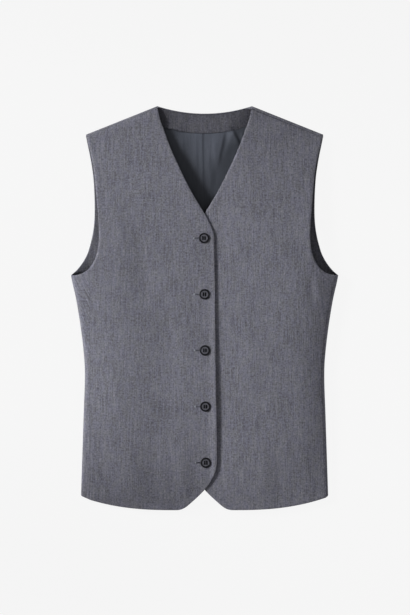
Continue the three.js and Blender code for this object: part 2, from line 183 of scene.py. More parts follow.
# ---- Shoulders and back neck: the back's cloth turns over the line onto the top face ----

SHOULDER_OVER = {-1: 0.0022, 1: 0.0044}  # how far over the line, on the wearer's right and left
NECK_OVER = 0.0018
NECK_STEP = (0.0630, 0.0705)  # the turned edge climbs from lining to front level between these half widths

# ---- Lining and facings ----

NECK_FACING = Sizes(end=0.105, middle=0.2622, inset=0.006, ripple=0.5, ease=0.010, size=(18, 132))
ARMHOLE_FACING = Sizes(width=0.025, low=0.056, rolled=0.0008, foot=0.0505, bend=4, size=(76, 12))
LINING_HEM = 0.022
LINING_SIDE = Sizes(inset=0.014, narrow=0.036)
PLEAT = Sizes(top=(-0.0030, 0.259), low=(-0.0005, 0.145), rise=0.0008, run=0.026, sharp=0.0005)

# ---- Creases: soft ridges, or troughs where the rise is below 0, each along a line ----

FRONT_CREASES = from_mm(  # x0, y0, x1, y1, left width, right width, rise
    (-109, 250, -107, 214, 5, 5, -0.5),
    (-135, 165, -121, 60, 13, 13, 1),
    (-96, 120, -84, 0, 16, 16, -1.3),
    (-66, 160, -40, 105, 11, 11, 0.9),
    (-52, -15, -50, -44, 5, 5, -0.5),
    (-60, 10, -50, -130, 14, 14, -0.6),
    (-128, -60, -134, -170, 10, 10, 0.5),
    (-77, -190, -74, -285, 9, 9, -0.7),
    (-48, -225, -45, -300, 10, 10, -0.9),
    (-98, -200, -100, -300, 50, 65, 3.6),
    (-110, -180, -112, -292, 9, 9, 0.5),
    (-150, -185, -153, -280, 7, 7, -0.4),
    (68, 245, 85, 190, 10, 10, -0.8),
    (128, 270, 118, 190, 12, 12, -0.6),
    (131, 150, 136, 120, 8, 8, -0.6),
    (52, 120, 45, 60, 14, 14, 0.8),
    (100, 90, 60, -10, 15, 15, 0.7),
    (158, 46, 163, 4, 4.5, 4.5, -1),
    (168, 50, 174, 10, 5, 5, 0.8),
    (72, -40, 68, -120, 14, 14, 0.6),
    (116, -60, 128, -170, 12, 12, -0.6),
    (84, -190, 86, -300, 120, 48, 3.4),
    (90, -190, 86, -290, 10, 10, 0.6),
    (112, -230, 112, -295, 9, 9, -0.8),
    (150, -200, 152, -290, 8, 8, 0.5),
)
LINING_CREASES = from_mm(  # x0, y0, x1, y1, left width, right width, rise
    (-64, 278, -50, 150, 30, 26, 1.6),
    (-34, 256, -33, 222, 10, 3, 0.9),
    (68, 262, 58, 215, 7, 7, 1.6),
    (29, 262, 19, 215, 12, 2.8, 1.2),
    (40, 263, 31, 225, 5, 5, 0.5),
    (42, 266, 53, 244, 9, 2, 2),
    (56, 264, 60, 250, 4, 2.5, 0.9),
    (16, 256, 13, 225, 5, 5, 0.5),
    (8, 255, 6, 200, 6, 2.2, 0.5),
    (-13, 262, -12, 205, 6, 2.2, 0.5),
    (-24, 262, -21, 215, 7, 3, 0.6),
    (-9, 240, -7, 190, 3, 3, -0.3),
    (11, 215, 8, 175, 5, 4, 0.5),
    (-90, 60, -70, -200, 16, 16, 0.6),
    (80, 20, 95, -210, 18, 18, 0.7),
)
FACING_CREASES = from_mm(  # x0, y0, x1, y1, left width, right width, rise
    (-64, 275, -62, 250, 15, 26, 3.6),
    (41, 270.5, 59, 261.5, 1.8, 1.8, -1.2),
    (30, 288, 42, 270, 6, 6, 0.4),
    (-45, 285, -30, 268, 7, 7, 0.4),
    (-3.6, 290, -3.6, 264, 0.9, 0.9, 0.3),
)
BACK_CREASES = from_mm(  # x0, y0, x1, y1, left width, right width, rise
    (-60, 230, -40, 120, 16, 16, 0.6),
    (70, 200, 45, 80, 18, 18, 0.5),
    (-90, 30, -100, -120, 20, 20, 0.6),
    (105, 10, 90, -150, 17, 17, 0.5),
    (10, -80, -12, -230, 18, 18, 0.6),
    (-140, -150, -135, -250, 12, 12, 0.4),
    (140, -170, 150, -265, 13, 13, 0.5),
)
CREASE_FADE = Sizes(near=(-0.2, 0.3), far=(0.65, 1.2), reach=3)  # shares of its length, times its width
RIPPLE = Sizes(rise=0.00028, span=0.055, body=0, lining=2, back=4, facing=6)  # slow waves, a layer each
SHOULDER_EASE = (0.002, 0.050)  # creases fade out towards the shoulder lines between these distances
BUTTON_STAND = Sizes(half=(0.010, 0.040), least=0.2)  # and towards the button line between these half widths
UNDER_EASE = Sizes(top=(0.005, 0.050), side=(0.0, 0.030), ripple=0.5)  # by the back's edges, for its underside
SEAM_WAVE = Sizes(rise=0.0009, span=0.013, layer=7.0)  # the neck facing's lower seam isn't quite even
LINING_RELIEF = Sizes(ripple=0.6, least=-0.0002)

# ---- Edges ----

EDGE_ROUND = 0.00095
EDGE_STEPS = 3
ROUNDED = Sizes(seam=0.5, back=0.6, front=0.7, layer=0.4)  # shares of EDGE_ROUND
EDGE_TURN = Sizes(width=0.0085, ease=0.003, rise=0.0003, centre=0.020)  # seam allowance inside the edges
# The cloth rolls down towards its finished edges, less where they are crisp and least round the cutaway
EDGE_FALL = Sizes(width=0.0033, drop=0.0011, crisp=0.4, cutaway=(-0.275, -0.225), least=0.25)
EDGE_OFFSETS = (0.0, 0.0011, 0.0022, 0.0034, 0.0052, 0.0082)  # columns close to an edge
# The left armhole stands off the surface along its rim, and the right one's foot curls up to its tip
ARMHOLE_RIM = Sizes(width=(0.004, 0.009), rise=(0.0014, 0.0040), foot=(0.055, 0.085), tip=(0.010, 0.060))
ARMHOLE_BOWL = Sizes(rise=0.0070, reach=(0.004, 0.036))
LINE_INSET = 0.0028  # the lining and armhole facings end this far below the shoulder lines

# ---- Buttons and buttonholes ----

BUTTON_COUNT = 5
BUTTON_PROFILE = from_mm(  # radius, height
    (0, 0),
    (6.2, 0),
    (7.2, 0.3),
    (7.7, 0.9),
    (7.8, 1.4),
    (7.7, 1.8),
    (7.4, 2.1),
    (6.9, 2.3),
    (6.5, 2.3),
    (6.1, 2.25),
    (5.7, 2.1),
    (5.3, 1.97),
    (4.9, 1.92),
    (3, 1.9),
    (0, 1.9),
)
BUTTON_STEPS = 64
BUTTON_RADIUS = 0.0078
BUTTON_SINK = 0.0005  # the thread pulls a button's base into the cloth
SEAT_STEP = 0.005  # the cloth's slope under a button is taken this far each way
DISH_LEVEL = 0.0019
SHARP_ANGLE = 38  # degrees
HOLE = Sizes(across=0.0016, along=0.0022, steps=20)
HOLE_PROFILE = from_mm(  # radius, height
    (0, -1),
    (0.9, -1),
    (0.9, 1.4),
    (1.008, 1.7),
    (1.2, 1.95),
    (1.2, 3),
    (0, 3),
)
THREAD_RADIUS = 0.00017
# Threads on a button, then the buttonhole behind it, all measured from the button's centre
STITCH = Sizes(strands=7, pitch=0.00027, rise=0.00045, fall=0.00007, past=0.0005, foot=0.0002, slack=0.0001)
SHANK = Sizes(strands=14, radius=0.0019, waist=0.9, low=-0.0006, high=0.0004)
BUTTONHOLE = Sizes(outer=-0.0142, inner=0.0010, pitch=0.00046, half=0.0002, uneven=0.00005)
BAR_PROFILE = from_mm((0.2, -0.1), (0.5, 0.16), (1, 0.12), (1.2, -0.2))  # distance from the slit, lift
TACK = Sizes(strands=6, start=-0.0162, pitch=0.00034)
TACK_PROFILE = from_mm((-1.4, -0.2), (-0.98, 0.26), (0, 0.26), (0.98, 0.26), (1.4, -0.2))  # y, lift
SLIT = Sizes(columns=24, lift=0.00004, wall=0.00005)


def clamp(value, low=0.0, high=1.0):
    return max(low, min(high, value))


def mix(start, end, share):
    return start + (end - start) * share


def smooth(value, low, high):
    t = clamp((value - low) / (high - low))
    return t * t * (3 - 2 * t)


def even_steps(start, end, count):
    """Values from the start up to the last one before the end."""
    return [mix(start, end, k / count) for k in range(count)]


def half_at(table, y):
    """The half width at y, on a smooth curve through a table's rows."""
    last = len(table) - 1
    if y <= table[0][0]:
        return table[0][1]
    if y >= table[last][0]:
        return table[last][1]
    k = next(k for k in range(last) if table[k + 1][0] > y)

    def slope(a, b):
        return (table[b][1] - table[a][1]) / (table[b][0] - table[a][0])

    span = table[k + 1][0] - table[k][0]
    start = slope(max(k - 1, 0), k + 1) * span
    end = slope(k, min(k + 2, last)) * span
    t = (y - table[k][0]) / span
    chord = table[k + 1][1] - table[k][1]
    bend = (start - chord) * (1 - t) + (chord - end) * t
    return table[k][1] + chord * t + bend * t * (1 - t)


class Outline:
    """A smooth curve through points in plan, taken by its length."""

    STEPS = 40

    def __init__(self, points):
        spots = [Vector(p) for p in points]
        spots = [2 * spots[0] - spots[1], *spots, 2 * spots[-1] - spots[-2]]
        self.samples = [spots[1]]
        for k in range(1, len(spots) - 2):
            self.samples.extend(self._stretch(*spots[k - 1 : k + 3]))
        self.lengths = [0.0]
        for a, b in zip(self.samples, self.samples[1:]):
            self.lengths.append(self.lengths[-1] + (b - a).length)

    def _stretch(self, before, start, end, after):
        gaps = [math.sqrt((b - a).length) for a, b in ((before, start), (start, end), (end, after))]

        def tangent(a, b, c, first, second):
            return (b - a) / first - (c - a) / (first + second) + (c - b) / second

        leaving = tangent(before, start, end, gaps[0], gaps[1]) * gaps[1]
        arriving = tangent(start, end, after, gaps[1], gaps[2]) * gaps[1]
        for k in range(1, self.STEPS + 1):
            t = k / self.STEPS
            rest = (start - end) * 2 + leaving + arriving
            curve = (end - start) * 3 - leaving * 2 - arriving
            yield start + leaving * t + curve * t * t + rest * t * t * t

    def at(self, share):
        length = clamp(share) * self.lengths[-1]
        low = min(bisect.bisect_right(self.lengths, length), len(self.lengths) - 1) - 1
        run = self.lengths[low + 1] - self.lengths[low]
        return self.samples[low].lerp(self.samples[low + 1], (length - self.lengths[low]) / run)

    def share_where(self, rule):
        """Where along the curve a rule first turns from false to true."""
        low, high = 0.0, 1.0
        while high - low > 1e-6:
            middle = (low + high) / 2
            if rule(self.at(middle)):
                high = middle
            else:
                low = middle
        return high


front_armhole = Outline(FRONT_ARMHOLE)
front_edge = Outline(FRONT_EDGE)
finished_edges = kdtree.KDTree(len(front_armhole.samples) + len(front_edge.samples))
for place, spot in enumerate(front_armhole.samples + front_edge.samples):
    finished_edges.insert(spot.to_3d(), place)
finished_edges.balance()


def shoulder_line(x):
    return NECK_POINT[1] - SHOULDER_SLOPE * max(0.0, abs(x) - NECK_POINT[0])


def back_top(x):
    """The back's upper outline: the neckline's dip between the shoulder lines."""
    if abs(x) >= NECK_POINT[0]:
        return shoulder_line(x)
    return NECK_POINT[1] - BACK_NECK_DIP * (1 - (x / NECK_POINT[0]) ** 2)


def front_hem(x):
    if x < HEM_POINT_X:
        return -HALF_LENGTH + HEM_ROUND - math.sqrt(HEM_ROUND**2 - (HEM_POINT_X - x) ** 2)
    share = max(0.0, x - HEM_RISE.start) / (HEM_RISE.at - HEM_RISE.start)
    return -HALF_LENGTH + HEM_RISE.by * share ** HEM_RISE.power


# ---- The body's loft: one height field that the fronts and the back's turned-up sides share ----


def loft_at(x, y):
    below_shoulder = clamp((shoulder_line(x) - y) / SHOULDER_RUN)
    above_hem = clamp((y - HEM_LOFT.y) / HEM_LOFT.run)
    from_hem = mix(HEM_LOFT.share, 1.0, math.sin(above_hem * math.pi / 2))
    return math.sin(below_shoulder * math.pi / 2) * from_hem


def edge_height(x, y):
    past_line = clamp((shoulder_line(x) - y) / SHOULDER_ROLL.width)
    return FLAT_TOP + SHOULDER_ROLL.rise * (1 - (1 - past_line) ** 2) + EDGE_LOFT * loft_at(x, y)


def crown_at(x, y):
    inside = clamp((half_at(CROWN_SIDE, y) - abs(x)) / CROWN.run)
    return CROWN.rise * loft_at(x, y) * (1 - (1 - inside) ** 3)


def crease_rise(creases, x, y):
    """What a table's creases add at a point. Each fades towards the ends of its line."""
    total = 0.0
    for x0, y0, x1, y1, left, right, rise in creases:
        dx, dy = x1 - x0, y1 - y0
        length = math.hypot(dx, dy)
        along = ((x - x0) * dx + (y - y0) * dy) / length**2
        away = ((x - x0) * dy - (y - y0) * dx) / length
        away /= left if away > 0 else right
        if CREASE_FADE.near[0] < along < CREASE_FADE.far[1] and abs(away) <= CREASE_FADE.reach:
            fade = smooth(along, *CREASE_FADE.near) * (1 - smooth(along, *CREASE_FADE.far))
            total += rise * fade * math.exp(-away * away)
    return total


def ripple(x, y, layer):
    spot = Vector((x, y, 0)) / RIPPLE.span
    return RIPPLE.rise * noise.noise(spot + Vector((0, 0, layer)))


def body_relief(x, y):
    """Creases of the upper face, x signed. They die out at the shoulders and by the buttons."""
    by_shoulder = smooth(shoulder_line(x) - y, *SHOULDER_EASE)
    by_buttons = mix(BUTTON_STAND.least, 1.0, smooth(abs(x), *BUTTON_STAND.half))
    return (crease_rise(FRONT_CREASES, x, y) + ripple(x, y, RIPPLE.body)) * by_shoulder * by_buttons


def armhole_rim(x, y):
    """How far the back stands off the surface beside its armholes, most of all at the underarms."""
    if y < UNDERARM[1]:
        return 0.0
    start = smooth(y, UNDERARM[1], ARMHOLE_RIM.foot[0])
    if x < 0:
        from_tip = math.hypot(UNDERARM[0] + x, y - UNDERARM[1])
        return start * ARMHOLE_BOWL.rise * (1 - smooth(from_tip, *ARMHOLE_BOWL.reach))
    inside = half_at(BACK_ARMHOLE, y) - x
    near_foot = 1 - smooth(y, *ARMHOLE_RIM.foot)
    rest = ARMHOLE_RIM.rise[0] * smooth(SHOULDER_TIP[1] - y, *ARMHOLE_RIM.tip)
    rise = mix(rest, ARMHOLE_RIM.rise[1], near_foot) * start
    return rise * (1 - smooth(inside, 0.0, mix(*ARMHOLE_RIM.width, near_foot)))


def under_relief(x, y):
    """Shallow hollows of the back's underside, where the cloth lifts off the surface."""
    by_top = smooth(back_top(x) - y, *UNDER_EASE.top)
    by_side = smooth(half_at(BACK_ARMHOLE, y) - abs(x), *UNDER_EASE.side)
    hollows = crease_rise(BACK_CREASES, x, y) + UNDER_EASE.ripple * ripple(x, y, RIPPLE.back)
    return max(0.0, hollows) * by_top * by_side + armhole_rim(x, y)


def top_height(x, y):
    """The body's upper face at a signed x."""
    return edge_height(x, y) + crown_at(x, y) + body_relief(x, y)


def edge_turn(side, x, y):
    """The allowance turned in along the finished edges thickens the cloth, which rolls down at the edge.
    The left front's armhole and the right front's free edge are the crisp ones."""
    _, place, near = finished_edges.find((x, y, 0.0))
    at_armhole = place < len(front_armhole.samples)
    from_hem = y - front_hem(max(x, CUTAWAY_TURN_X))
    rolled = 1.0 if at_armhole == (side < 0) or from_hem < near else EDGE_FALL.crisp
    rolled *= mix(EDGE_FALL.least, 1.0, smooth(y, *EDGE_FALL.cutaway))
    near = min(near, from_hem)
    turned = EDGE_TURN.rise * (1 - smooth(near, EDGE_TURN.width - EDGE_TURN.ease, EDGE_TURN.width))
    fall = EDGE_FALL.drop * rolled * (1 - clamp(near / EDGE_FALL.width)) ** 2
    return turned * smooth(x, 0.0, EDGE_TURN.centre) - fall


# ---- Back: one sheet that folds up round both sides to the seams, and over the shoulder lines ----

QUARTER = ROLL * math.pi / 2


def roll_half(y):
    """Half width of the line that the side folds roll round."""
    return half_at(SIDE_FOLD, y) - ROLL


def fold_section(side, way, y):
    """The outer face across the body at y, and its tilt. way is 0 on the fold line and above 0 on top."""
    centre = roll_half(y)
    if way <= -QUARTER:
        x = centre + way + QUARTER
        return x, under_relief(side * x, y), -math.pi / 2
    if way >= QUARTER:
        x = centre - way + QUARTER
        return x, top_height(side * x, y), math.pi / 2
    tilt = way / ROLL
    x = centre + ROLL * math.cos(tilt)
    lift = max(0.0, math.sin(tilt)) * (crown_at(x, y) + body_relief(side * x, y))
    return x, edge_height(x, y) / 2 * (1 + math.sin(tilt)) + lift, tilt


def way_on_top(x, y):
    inward = roll_half(y) - x
    return QUARTER + inward if inward >= 0 else ROLL * math.acos(clamp(-inward / ROLL))


def seam_half(side, y):
    return RIGHT_SEAM_HALF if side < 0 else half_at(SIDE_FOLD, y) - LEFT_SEAM_INSET


SEAM_TOP = {s: front_armhole.share_where(lambda p, s=s: p.x < seam_half(s, p.y)) for s in (-1, 1)}
SEAM_TOP_LEVEL = 0.041
BACK_ROWS = Sizes(seam=88, underarm=16, armhole=66)
BACK_SPACING = Sizes(seam=0.7, armhole=1.25)  # sets the rows closer together by the hem and the underarm
TURN_ROWS = Sizes(arc=6, flat=2)
SIDE_STRIP = {-1: (8, 0.008), 1: (2, 0.002)}  # columns and least width of the turned-up side
SIDE_BEND = Sizes(hem=1.15, underarm=3.0, least=0.001)  # how rows leave their level at the sides
FOLD_LEAST = 0.008
BACK_COLUMNS = Sizes(fold=12, flat=26, neck=26)


def back_edge(side):
    """The back's outer edge from hem to shoulder tip: rows of way round the fold, y and level underneath."""
    start = SEAM_TOP[side]
    top = front_armhole.at(start).y
    low = front_hem(seam_half(side, BACK_HEM.side))
    rows = []
    for k in range(BACK_ROWS.seam + 1):
        share = mix(k / BACK_ROWS.seam, smooth(k / BACK_ROWS.seam, 0.0, 1.0), BACK_SPACING.seam)
        y = mix(low, top, share)
        way = way_on_top(seam_half(side, y) + SEAM_GAP / 2, y)
        rows.append((way, y, mix(BACK_HEM.side, SEAM_TOP_LEVEL, share)))
    for k in range(1, BACK_ROWS.underarm + 1):
        share = k / BACK_ROWS.underarm
        spot = front_armhole.at(start * (1 - share))
        rows.append((way_on_top(spot.x, spot.y), spot.y, mix(SEAM_TOP_LEVEL, UNDERARM[1], share)))
    for k in range(1, BACK_ROWS.armhole + 1):
        y = mix(UNDERARM[1], SHOULDER_TIP[1], (k / BACK_ROWS.armhole) ** BACK_SPACING.armhole)
        rows.append((-way_on_top(half_at(BACK_ARMHOLE, y), y), y, y))
    return rows


def turn_height(x):
    """How high the turned-over edge stands: on the lining at the neck, on the body at the shoulders."""
    return mix(LAYER_HIGH, FLAT_TOP, smooth(abs(x), *NECK_STEP))


def turn_over(x):
    return mix(NECK_OVER, SHOULDER_OVER[-1 if x < 0 else 1], smooth(abs(x), *NECK_STEP))


def back_level(level, x):
    """The hem's arch and the neck and shoulder lines fade out away from their ends."""
    near_hem = clamp((level - BACK_HEM.fade) / (BACK_HEM.side - BACK_HEM.fade)) ** 2
    near_top = clamp((level - UNDERARM[1]) / (SHOULDER_TIP[1] - UNDERARM[1])) ** 2
    arch = BACK_HEM.arch * (1 - min(1.0, abs(x) / SIDE_FOLD[0][1]) ** 2)
    turn = back_top(x) - turn_height(x) / 2 - SHOULDER_TIP[1]
    return level + arch * near_hem + turn * near_top


def half_ways(side, way, y):
    """Ways round the fold of one half's columns, from the edge to just short of the centre line."""
    centre = roll_half(y)
    columns, strip = SIDE_STRIP[side]
    fold_top = min(QUARTER, way - strip)
    fold_low = min(-QUARTER, fold_top - FOLD_LEAST)
    knots = (way, fold_top, fold_low, NECK_POINT[0] - centre - QUARTER, -centre - QUARTER)
    counts = (columns, BACK_COLUMNS.fold, BACK_COLUMNS.flat, BACK_COLUMNS.neck)
    return [step for k, count in enumerate(counts) for step in even_steps(knots[k], knots[k + 1], count)]


def back_row(edges, i, depth):
    """Points and charts of row i from right seam to left seam, moved in from the outer face by depth."""
    level = edges[-1][i][2]
    points = {}
    for side in (-1, 1):
        way_out, y_out, _ = edges[side][i]
        run = []
        for way in half_ways(side, way_out, level):
            bend = mix(SIDE_BEND.hem, SIDE_BEND.underarm, i / BACK_ROWS.seam)
            y = level + (y_out - level) * (max(0.0, way) / max(way_out, SIDE_BEND.least)) ** bend
            x, z, tilt = fold_section(side, way, y)
            x -= depth * math.cos(tilt)
            z -= depth * math.sin(tilt)
            if way < 0:
                y = back_level(level, x)
            elif depth == 0.0:
                z += edge_turn(side, x, y) * max(0.0, math.sin(tilt))
            chart = (side * (roll_half(level) + QUARTER + way), y)
            run.append((Vector((side * x, y, z)), chart))
        points[side] = run
    y = back_level(level, 0.0)
    middle = (Vector((0.0, y, depth + under_relief(0.0, y))), (0.0, y))
    return points[-1] + [middle] + points[1][::-1]


def turned_row(base, k, depth):
    """Row k of the edge that turns over the shoulder lines and the neckline, above the flat rows."""
    row = []
    for spot, chart in base:
        height = turn_height(spot.x)
        radius = height / 2
        over = turn_over(spot.x)
        line = back_top(spot.x)
        tilt = math.pi * (min(k / TURN_ROWS.arc, 1.0) - 0.5)
        past = max(0.0, (k - TURN_ROWS.arc) / TURN_ROWS.flat) * (over - radius)
        y = line - radius + (radius - depth) * math.cos(tilt) - past
        z = radius + (radius - depth) * math.sin(tilt)
        on_body = smooth(abs(spot.x), *NECK_STEP) * max(0.0, math.sin(tilt))
        z += (top_height(spot.x, y) - FLAT_TOP) * on_body
        run = radius * math.pi * min(k / TURN_ROWS.arc, 1.0) + past
        row.append((Vector((spot.x, y, z)), (chart[0], chart[1] + run)))
    return row


def back_sheet():
    edges = {side: back_edge(side) for side in (-1, 1)}
    flat_rows = len(edges[1])
    faces = []
    for depth in (0.0, BACK_WALL):
        rows = [back_row(edges, i, depth) for i in range(flat_rows)]
        base = rows[-1]
        rows += [turned_row(base, k, depth) for k in range(1, TURN_ROWS.arc + TURN_ROWS.flat + 1)]
        faces.append(rows)

    def pressed(i, j):
        at_seam = j in (0, len(faces[0][0]) - 1) and i < BACK_ROWS.seam
        return ROUNDED.seam if at_seam or i == len(faces[0]) - 1 else ROUNDED.back

    def place(i, j, upper):
        return faces[int(upper)][i][j]

    size = (len(faces[0]) - 1, len(faces[0][0]) - 1)
    return cloth_wall("back_cloth", place, size, pressed, two_looks=True)


# ---- Cloth walls ----


def cloth_wall(name, place, size, pressed, two_looks=False):
    """A closed wall between a sheet's two faces, rows running up and columns to the viewer's right.
    place gives the point and the chart of row i, column j on the upper or lower face, and pressed how round
    the rim is there. With two looks, the upper face takes the second material."""
    rows, columns = size
    sheet = bmesh.new()
    bmesh.ops.create_grid(sheet, x_segments=columns, y_segments=rows, size=0.5)
    row_of = sheet.verts.layers.int.new("row")
    column_of = sheet.verts.layers.int.new("column")
    for vert in sheet.verts:
        vert[row_of] = round((vert.co.y + 0.5) * rows)
        vert[column_of] = round((vert.co.x + 0.5) * columns)
    lifted = bmesh.ops.extrude_face_region(sheet, geom=list(sheet.faces), use_keep_orig=True)["geom"]
    upper = {item for item in lifted if isinstance(item, bmesh.types.BMVert)}
    charts = {}
    for vert in sheet.verts:
        point, chart = place(vert[row_of], vert[column_of], vert in upper)
        vert.co = point
        turned_in = 0.0 if vert in upper else FRONT_WALL
        charts[vert] = (chart[0] + turned_in, chart[1] + turned_in)
    cloth_map = sheet.loops.layers.uv.new("cloth")
    round_of = sheet.edges.layers.float.new("bevel_weight_edge")
    for face in sheet.faces:
        face.smooth = True
        for loop in face.loops:
            loop[cloth_map].uv = charts[loop.vert]
        face.material_index = int(two_looks and all(vert in upper for vert in face.verts))
        if len({vert in upper for vert in face.verts}) == 2:
            for edge in face.edges:
                a, b = edge.verts
                if (a in upper) == (b in upper):
                    edge[round_of] = min(pressed(v[row_of], v[column_of]) for v in (a, b))
    for layer in ("row", "column"):
        sheet.verts.layers.int.remove(sheet.verts.layers.int[layer])
    piece = to_piece(name, sheet)
    rim = piece.modifiers.new("pressed_edges", "BEVEL")
    rim.width = EDGE_ROUND
    rim.segments = EDGE_STEPS
    rim.limit_method = "WEIGHT"
    rim.use_clamp_overlap = False
    return piece


def to_piece(name, maker):
    mesh = bpy.data.meshes.new(name)
    maker.to_mesh(mesh)
    maker.free()
    return add_object(name, mesh)


# ---- Fronts ----

FRONT_ROWS = Sizes(seam=104, armhole=104)
FRONT_SPACING = Sizes(seam=1.1, armhole=1.2)  # sets the rows closer together by the hem and the underarm
FRONT_MIDDLE_COLUMNS = 62
EDGE_MATCH = 0.53  # share of the free edge's length that faces the side seam, below the armhole
HEM_FADE = 5  # power by which the rows lose the hem's curve


def lap_shift(side, x, y):
    near = 1 - smooth(x, LAP.inner, LAP.outer)
    if side > 0:
        return -LAP.offset * near
    rise = mix(*EDGE_LIFT.rise, smooth(y, *EDGE_LIFT.y))
    return LAP.offset * near + rise * smooth(-x, *EDGE_LIFT.half)


def front_height(side, x, y):
    """The front's outer face before its edges roll; x is taken outwards in the front's own half."""
    return top_height(side * x, y) + lap_shift(side, x, y)


def front_row_ends(side, i):
    """The outer end of row i, at the seam or the armhole, and the inner one on the free edge."""
    start = SEAM_TOP[side]
    hem_end = front_edge.share_where(lambda p: p.x < CUTAWAY_TURN_X)

    def at_shoulder(p):
        return p.y > shoulder_line(p.x) - SHOULDER_OVER[side] - GAP

    if i <= FRONT_ROWS.seam:
        share = (i / FRONT_ROWS.seam) ** FRONT_SPACING.seam
        y = mix(front_hem(seam_half(side, BACK_HEM.side)), front_armhole.at(start).y, share)
        outer = Vector((seam_half(side, y) - SEAM_GAP / 2, y))
        return outer, front_edge.at(mix(hem_end, EDGE_MATCH, share))
    share = ((i - FRONT_ROWS.seam) / FRONT_ROWS.armhole) ** FRONT_SPACING.armhole
    outer = front_armhole.at(mix(start, front_armhole.share_where(at_shoulder), share))
    inner = front_edge.at(mix(EDGE_MATCH, front_edge.share_where(at_shoulder), share))
    return outer, inner


def row_offsets(width):
    """Columns across a row of this width: close together at both edges, and even between them."""
    near = list(EDGE_OFFSETS)
    start, end = near[-1], width - near[-1]
    middle = [mix(start, end, k / FRONT_MIDDLE_COLUMNS) for k in range(1, FRONT_MIDDLE_COLUMNS)]
    return near + middle + [width - offset for offset in reversed(near)]


def front_sheet(side, name):
    rows = FRONT_ROWS.seam + FRONT_ROWS.armhole
    ends = [front_row_ends(side, i) for i in range(rows + 1)]
    plans = []
    seam_foot, edge_foot = ends[0]
    for i, (outer, inner) in enumerate(ends):
        width = (outer - inner).length
        near_hem = (1 - min(1.0, i / FRONT_ROWS.seam)) ** HEM_FADE
        plan = [outer.lerp(inner, offset / width) for offset in row_offsets(width)]
        for spot in plan:
            if spot.x > CUTAWAY_TURN_X:
                share = (seam_foot.x - spot.x) / (seam_foot.x - edge_foot.x)
                chord = mix(seam_foot.y, edge_foot.y, share)
                spot.y += (front_hem(spot.x) - chord) * near_hem
        plans.append(plan if side < 0 else plan[::-1])
    columns = len(plans[0]) - 1
    tops = [[front_height(side, spot.x, spot.y) for spot in plan] for plan in plans]
    seam_column = 0 if side < 0 else columns

    def place(i, j, upper):
        spot = plans[i][j]
        z = tops[i][j] + (edge_turn(side, spot.x, spot.y) if upper else -FRONT_WALL)
        return Vector((side * spot.x, spot.y, z)), (side * spot.x, spot.y)

    def pressed(i, j):
        return ROUNDED.seam if i == rows or (j == seam_column and i <= FRONT_ROWS.seam) else ROUNDED.front

    return cloth_wall(name, place, (rows, columns), pressed)


# ---- Lining and facings ----


def layer_wall(name, size, lie):
    """A wall over the back. lie gives the x and y of row i, column j, and how far it is lifted."""

    def place(i, j, upper):
        x, y, lift = lie(i, j)
        return Vector((x, y, lift + (LAYER_HIGH if upper else LAYER_LOW))), (x, y)

    return cloth_wall(name, place, size, lambda i, j: ROUNDED.layer)


def facing_low(x):
    """The neck facing's lower edge, which would run on past its ends into the shoulder seams."""
    rise = shoulder_line(NECK_FACING.end) - NECK_FACING.middle
    wave = SEAM_WAVE.rise * noise.noise(Vector((x / SEAM_WAVE.span, SEAM_WAVE.layer, 0.0)))
    return NECK_FACING.middle + rise * (x / NECK_FACING.end) ** 2 + wave


def facing_top(x):
    return back_top(x) - max(turn_over(x), turn_height(x) / 2) - GAP


def pleat_x(y):
    (x_top, y_top), (x_low, y_low) = PLEAT.top, PLEAT.low
    return mix(x_top, x_low, (y_top - y) / (y_top - y_low))


def lining_relief(x, y):
    before = pleat_x(y) - x
    pleat = PLEAT.rise * smooth(before, -PLEAT.sharp, PLEAT.sharp) * (1 - smooth(before, 0, PLEAT.run))
    creases = crease_rise(LINING_CREASES, x, y) + LINING_RELIEF.ripple * ripple(x, y, RIPPLE.lining)
    return max(creases + pleat, LINING_RELIEF.least) + under_relief(x, y)


def lining_half(y):
    by_fold = half_at(SIDE_FOLD, y) - LINING_SIDE.inset
    by_facing = half_at(BACK_ARMHOLE, max(y, ARMHOLE_FACING.low)) - ARMHOLE_FACING.width - GAP
    return mix(by_fold, by_facing, smooth(y, LINING_SIDE.narrow, ARMHOLE_FACING.low))


LINING_ROWS = Sizes(low=74, high=56, turn=0.150)  # rows are closer together above the turn
LINING_COLUMNS = Sizes(side=20, middle=48, turn=0.070)  # and columns inside it
LINING_BEND = Sizes(hem=3, top=6)  # powers by which the rows lose the hem's arch and take up the top's line


def lining_sheet():
    low = BACK_HEM.side + LINING_HEM
    tip = SHOULDER_TIP[0] - ARMHOLE_FACING.width - GAP

    def top_at(x):
        return min(shoulder_line(x) - LINE_INSET, facing_low(x) - GAP)

    high = top_at(tip)
    turn = LINING_COLUMNS.turn
    levels = even_steps(low, LINING_ROWS.turn, LINING_ROWS.low)
    levels += even_steps(LINING_ROWS.turn, high, LINING_ROWS.high) + [high]
    half_columns = even_steps(0.0, turn, LINING_COLUMNS.middle)
    half_columns += even_steps(turn, tip, LINING_COLUMNS.side) + [tip]
    across = [-x for x in reversed(half_columns[1:])] + half_columns

    def lie(i, j):
        half = lining_half(levels[i])
        column = across[j]
        lean = pleat_x(levels[i]) * (1 - abs(column) / tip)
        outside = max(0.0, abs(column) - turn) / (tip - turn)
        x = math.copysign(min(abs(column), turn) + outside * (half - turn), column) + lean
        share = (levels[i] - low) / (high - low)
        arch = BACK_HEM.arch * (1 - (x / half) ** 2) * (1 - share) ** LINING_BEND.hem
        y = levels[i] + arch + (top_at(x) - high) * share**LINING_BEND.top
        return x, y, lining_relief(x, y)

    return layer_wall("back_lining_satin", (len(levels) - 1, len(across) - 1), lie)


